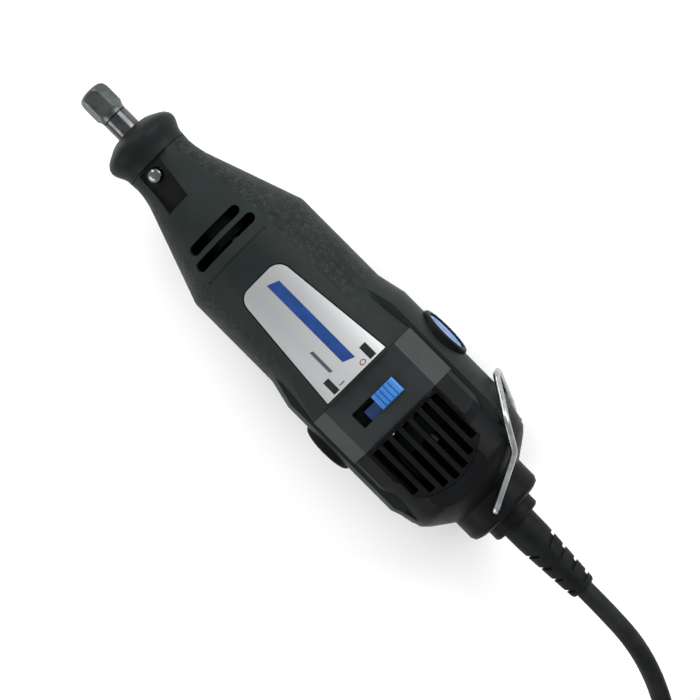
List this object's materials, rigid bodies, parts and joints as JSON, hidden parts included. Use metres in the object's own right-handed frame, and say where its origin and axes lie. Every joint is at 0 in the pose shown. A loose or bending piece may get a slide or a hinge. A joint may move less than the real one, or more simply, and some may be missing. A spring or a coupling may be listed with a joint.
{
  "type": "corded rotary tool",
  "caption": "Corded handheld rotary tool with collet nut, screw-on nose cap, slide switch, push pin shaft lock, rear air grille, swinging wire hanger and coiled mains lead.",
  "frame": {"origin": "mouth of the collet bore, on the spindle axis", "axes": "+X along the spindle from the collet back to the cord, +Y towards the brush cap beside the folded hanger, +Z out of the name-plate face; the tool lies on its back on the plane z = -0.0239"},
  "size_m": [0.4034, 0.088, 0.0487],
  "materials": {
    "case_plastic": "fine grained grip texture with smooth bands",
    "cap_plastic": "smooth satin black",
    "panel_plastic": "smooth satin",
    "nose_cap_plastic": "satin",
    "dark_steel": "blackened, oiled",
    "bright_steel": "polished",
    "wire_steel": "bright drawn wire",
    "bearing_steel": "ground",
    "spring_steel": "drawn wire",
    "plate_silver": "satin printed foil",
    "plate_dark": "printed film",
    "knob_blue": "smooth",
    "brush_cap_blue": "satin",
    "black_plastic": "satin",
    "rubber_black": "matt",
    "cord_jacket": "matt extruded",
    "lamination_steel": "laminated",
    "copper": "enamelled copper",
    "commutator_copper": "turned",
    "brass_yellow": "drawn",
    "carbon": "carbon",
    "fan_plastic": "moulded",
    "lead_sleeve": "PVC sleeve",
    "screw_steel": "zinc plated"
  },
  "bodies": {
    "housing": {"housing_upper": "case_plastic", "housing_lower": "case_plastic", "rear_cap": "cap_plastic", "switch_panel": "panel_plastic", "rear_grille_upper": "cap_plastic", "rear_grille_lower": "cap_plastic", "switch_body": "black_plastic", "name_plate": "plate_silver", "rating_plate": "plate_dark", "lock_spring": "spring_steel", "field_core": "lamination_steel", "field_coils": "copper", "bearing_boot": "rubber_black", "case_screws": "screw_steel", "cord_clamp": "black_plastic", "clamp_screws": "screw_steel", "motor_leads": "lead_sleeve", "strain_relief": "rubber_black", "cord_lead_in": "cord_jacket", "cord_coil": "cord_jacket", "cord_tie": "rubber_black", "plug_body": "rubber_black", "plug_blades": "bearing_steel", "power_cord": "cord_jacket", "cord_tail": "cord_jacket", "nose_bearing_outer_ring": "bearing_steel", "spindle_bearing_outer_ring": "bearing_steel", "motor_bearing_outer_ring": "bearing_steel", "rear_bearing_outer_ring": "bearing_steel", "brush_holder_left": "black_plastic", "brush_sleeve_left": "brass_yellow", "carbon_brush_left": "carbon", "brush_spring_left": "spring_steel", "brush_holder_right": "black_plastic", "brush_sleeve_right": "brass_yellow", "carbon_brush_right": "carbon", "brush_spring_right": "spring_steel"},
    "rotor": {"spindle": "dark_steel", "drive_coupling": "rubber_black", "armature_shaft": "bearing_steel", "cooling_fan": "fan_plastic", "armature_core": "lamination_steel", "armature_windings": "copper", "commutator": "commutator_copper", "nose_bearing_inner_ring": "bearing_steel", "nose_bearing_balls": "bearing_steel", "spindle_bearing_inner_ring": "bearing_steel", "spindle_bearing_balls": "bearing_steel", "motor_bearing_inner_ring": "bearing_steel", "motor_bearing_balls": "bearing_steel", "rear_bearing_inner_ring": "bearing_steel", "rear_bearing_balls": "bearing_steel"},
    "collet_nut": {"collet_nut": "dark_steel"},
    "collet": {"collet": "bright_steel"},
    "nose_cap": {"nose_cap": "nose_cap_plastic"},
    "switch_knob": {"switch_knob": "knob_blue"},
    "lock_pin": {"lock_pin": "bright_steel"},
    "hanger": {"hanger": "wire_steel"},
    "brush_cap_left": {"brush_cap_left": "brush_cap_blue"},
    "brush_cap_right": {"brush_cap_right": "brush_cap_blue"}
  },
  "joints": [
    {"name": "spindle_spin", "type": "hinge", "parent": "housing", "child": "rotor", "pos_m": [0.09, 0, 0], "axis": [1, 0, 0], "continuous": true},
    {"name": "collet_nut_off", "type": "slide", "parent": "rotor", "child": "collet_nut", "axis": [-1, 0, 0], "range_m": [0, 0.025]},
    {"name": "collet_draw", "type": "slide", "parent": "rotor", "child": "collet", "axis": [-1, 0, 0], "range_m": [0, 0.0125]},
    {"name": "nose_cap_off", "type": "slide", "parent": "housing", "child": "nose_cap", "axis": [-1, 0, 0], "range_m": [0, 0.034]},
    {"name": "switch_slide", "type": "slide", "parent": "housing", "child": "switch_knob", "axis": [0, -1, 0], "range_m": [0, 0.007]},
    {"name": "shaft_lock_press", "type": "slide", "parent": "housing", "child": "lock_pin", "axis": [0, 0.2079, -0.9781], "range_m": [0, 0.0024], "stiffness_N_per_m": 600, "springref_m": -0.001, "deforming": ["lock_spring"]},
    {"name": "hanger_swing", "type": "hinge", "parent": "housing", "child": "hanger", "pos_m": [0.1913, 0, 0], "axis": [0, 0, 1], "range_deg": [-128, 0]},
    {"name": "brush_cap_left_off", "type": "slide", "parent": "housing", "child": "brush_cap_left", "axis": [0, 1, 0], "range_m": [0, 0.012]},
    {"name": "brush_cap_right_off", "type": "slide", "parent": "housing", "child": "brush_cap_right", "axis": [0, -1, 0], "range_m": [0, 0.012]}
  ],
  "couplings": [
    {"joint": "collet_draw", "follows": "collet_nut_off", "ratio": 0.5}
  ]
}
